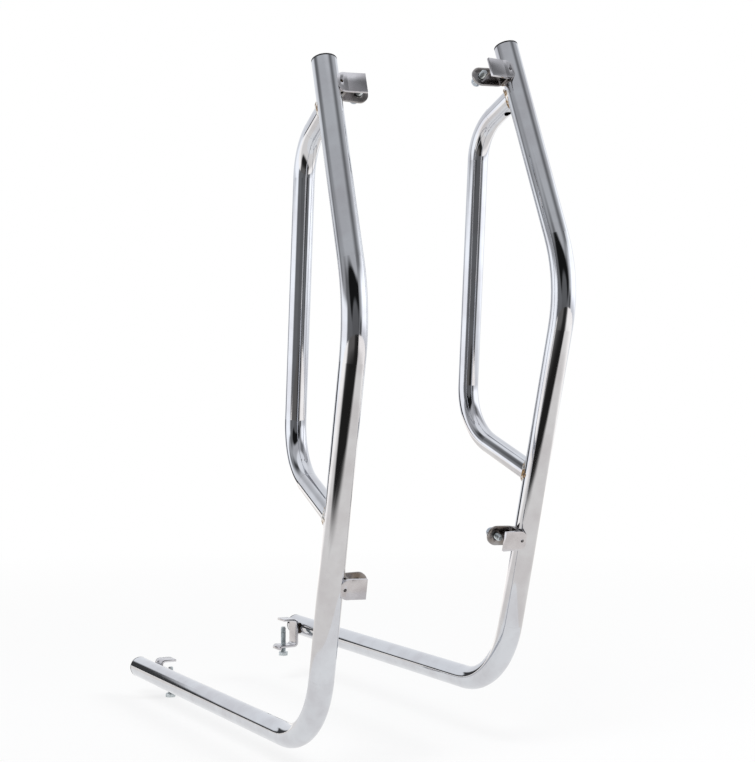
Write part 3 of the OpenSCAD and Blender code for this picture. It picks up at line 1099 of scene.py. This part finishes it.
def mesh_object(name: str, points: Sequence[Point], faces: Sequence[Sequence[int]],
                mat: bpy.types.Material) -> bpy.types.Object:
    """Put a mesh of the studio into the scene.

    Args:
        name: Its name.
        points: Its points in metres.
        faces: The numbers of each face's points.
        mat: Its material.

    Returns:
        The object, which isn't staged yet.
    """
    mesh = bpy.data.meshes.new(name)
    mesh.from_pydata(points, [], faces)
    mesh.materials.append(mat)
    obj = bpy.data.objects.new(name, mesh)
    bpy.context.collection.objects.link(obj)
    return obj


@dataclass(frozen=True)
class SoftBox:
    """A rectangular soft box, which mirrors don't see."""

    name: str
    place: Point
    size: Pair
    watts: float
    aim: Point = (0.0, 0.0, 0.3)

    def build(self) -> None:
        """Hang the soft box and turn it to its aim."""
        data = bpy.data.lights.new(self.name, "AREA")
        data.shape = "RECTANGLE"
        data.size, data.size_y = self.size
        data.energy = self.watts
        lamp = bpy.data.objects.new(self.name, data)
        lamp.location = self.place
        lamp.rotation_euler = (Vector(self.aim) - Vector(self.place)).to_track_quat("-Z", "Y").to_euler()
        lamp.visible_glossy = False
        bpy.context.collection.objects.link(lamp)


@dataclass(frozen=True)
class Studio:
    """The camera, the white floor and air, the soft boxes and the room that mirrors see."""

    camera_place: Point = (-0.6880, -1.4469, 0.3392)
    camera_yaw: float = -27.28
    lens: float = 76.32
    sensor_width: float = 36.0
    shift_y: float = 0.011
    far_clip: float = 50.0
    air_colour: str = "#f4f5f7"
    air_level: float = 0.7
    paper_colour: str = "#f7f7f7"
    floor_half: float = 9.0
    # The floor's own light as a share, near the bars and far off, where their shadow ends.
    glow_near: float = 0.74
    glow_far: float = 1.0
    glow_between: Pair = (0.45, 1.8)
    softboxes: tuple[SoftBox, ...] = (
        SoftBox("key_softbox", (-1.6, -1.6, 2.6), (1.4, 1.4), 40),
        SoftBox("fill_softbox", (1.9, -1.0, 2.0), (1.2, 1.2), 20),
    )

    def camera(self) -> None:
        """Set the camera up as the photograph was taken."""
        data = bpy.data.cameras.new("camera")
        data.lens = self.lens
        data.sensor_width = self.sensor_width
        data.shift_y = self.shift_y
        data.clip_end = self.far_clip
        cam = bpy.data.objects.new("camera", data)
        cam.location = self.camera_place
        cam.rotation_euler = (math.radians(90), 0, math.radians(self.camera_yaw))
        bpy.context.collection.objects.link(cam)
        bpy.context.scene.camera = cam

    def world(self) -> None:
        """White to the camera, mirrors and glass, and an even pale grey to matt surfaces."""
        world = bpy.data.worlds.new("studio_air")
        world.use_nodes = True
        tree = world.node_tree
        tree.nodes.clear()
        path = add_node(tree, "ShaderNodeLightPath").outputs
        either = add_node(tree, "ShaderNodeMath", LARGER, n0=path["Is Camera Ray"], n1=path["Is Glossy Ray"])
        seen = add_node(tree, "ShaderNodeMath", LARGER, n0=either, n1=path["Is Transmission Ray"])
        air = add_node(tree, "ShaderNodeBackground", Color=to_linear(self.air_colour),
                       Strength=self.air_level)
        white = add_node(tree, "ShaderNodeBackground", Color=WHITE, Strength=1.0)
        mix = add_node(tree, "ShaderNodeMixShader", n0=seen, n1=air, n2=white)
        add_node(tree, "ShaderNodeOutputWorld", Surface=mix)
        bpy.context.scene.world = world
        bpy.context.scene.view_settings.view_transform = "Standard"

    def floor(self) -> None:
        """Lay a white floor that keeps a soft shadow."""
        mat = blank_material("white_paper_floor")
        tree = mat.node_tree
        path = add_node(tree, "ShaderNodeLightPath").outputs
        seen = add_node(tree, "ShaderNodeMath", LARGER, n0=path["Is Camera Ray"], n1=path["Is Glossy Ray"])
        place = add_node(tree, "ShaderNodeTexCoord").outputs["Object"]
        away = add_node(tree, "ShaderNodeVectorMath", {"operation": "LENGTH"}, n0=place)
        fade = add_node(tree, "ShaderNodeMapRange", n0=away.outputs["Value"], n1=self.glow_between[0],
                        n2=self.glow_between[1], n3=self.glow_near, n4=self.glow_far)
        share = add_node(tree, "ShaderNodeMath", TIMES, n0=seen, n1=fade)
        paper = add_node(tree, "ShaderNodeBsdfDiffuse", Color=to_linear(self.paper_colour))
        white = add_node(tree, "ShaderNodeEmission", Color=WHITE, Strength=1.0)
        mix = add_node(tree, "ShaderNodeMixShader", n0=share, n1=paper, n2=white)
        add_node(tree, "ShaderNodeOutputMaterial", Surface=mix)
        far = self.floor_half
        corners = [(-far, -far, 0), (far, -far, 0), (far, far, 0), (-far, far, 0)]
        obj = mesh_object("floor", corners, [(0, 1, 2, 3)], mat)

    def build(self) -> None:
        """Set up camera, air, floor, lamps and the mirror room."""
        self.camera()
        self.world()
        self.floor()
        for softbox in self.softboxes:
            softbox.build()
        MirrorRoom(self.camera_yaw).build()
        LOG.info("studio: camera, floor, %d soft boxes and the room that mirrors see", len(self.softboxes))


def dress_nodes() -> None:
    """Give every CAD node its finish, through its object's own slots."""
    for name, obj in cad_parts.items():
        finish = FINISH_OF[name.split("_", 1)[1]]
        for slot in obj.material_slots:
            slot.material = finish.material()
        LOG.info("%s: %s", name, finish.name)


def main() -> None:
    """Build the studio and the object's looks, in order."""
    logging.basicConfig(level=logging.INFO, format="%(name)s: %(message)s")
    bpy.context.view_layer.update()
    Studio().build()
    dress_nodes()
    for side in Side:
        bar = Bar(side)
        HoopWelds(bar).build()
        PanelClamp(bar, "top", screw_at=31.5, down_from_top=28.5).build()
        PanelClamp(bar, "mid", screw_at=27.5, up_from_corner=147.5).build()
        FloorClamp(bar).build()
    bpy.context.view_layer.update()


if __name__ == "__main__":
    main()
